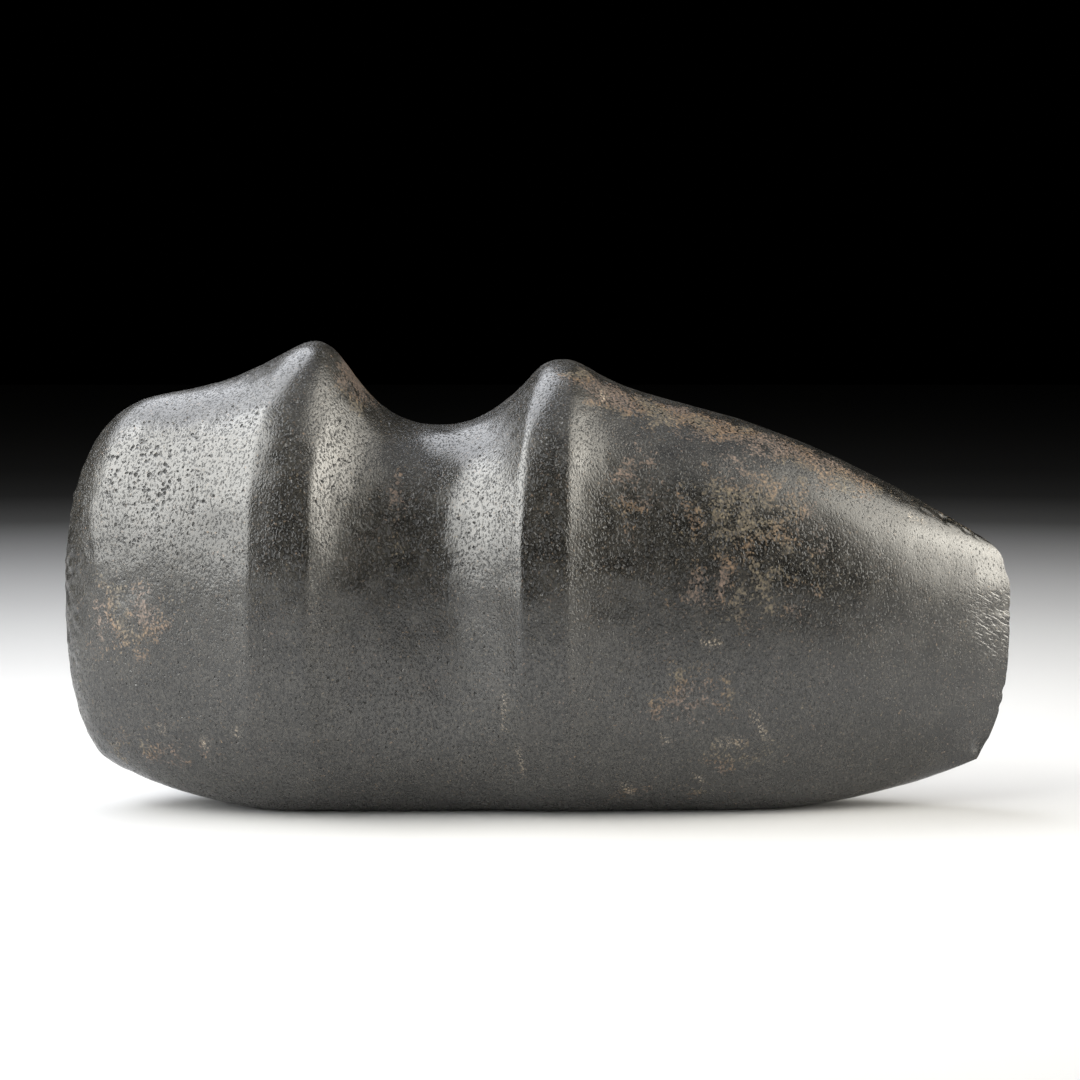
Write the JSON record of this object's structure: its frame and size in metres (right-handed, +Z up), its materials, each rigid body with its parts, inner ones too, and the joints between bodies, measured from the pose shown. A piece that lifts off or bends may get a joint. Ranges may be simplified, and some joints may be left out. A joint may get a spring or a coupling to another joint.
{
  "type": "three-quarter-grooved stone axe head",
  "caption": "Ground and polished dark stone axe head with a rounded butt, a tapering bit and a deep haft groove between raised ridges, open along its flat underside.",
  "frame": {"origin": "on the flat underside that the head stands on, under the middle of its length and of its thickness", "axes": "+X from the butt to the cutting edge, +Y through the thickness, +Z up from the ungrooved underside to the grooved top"},
  "size_m": [0.18, 0.0618, 0.0888],
  "materials": {
    "stone": "satin"
  },
  "bodies": {
    "root": {"axe_head": "stone"}
  },
  "joints": []
}
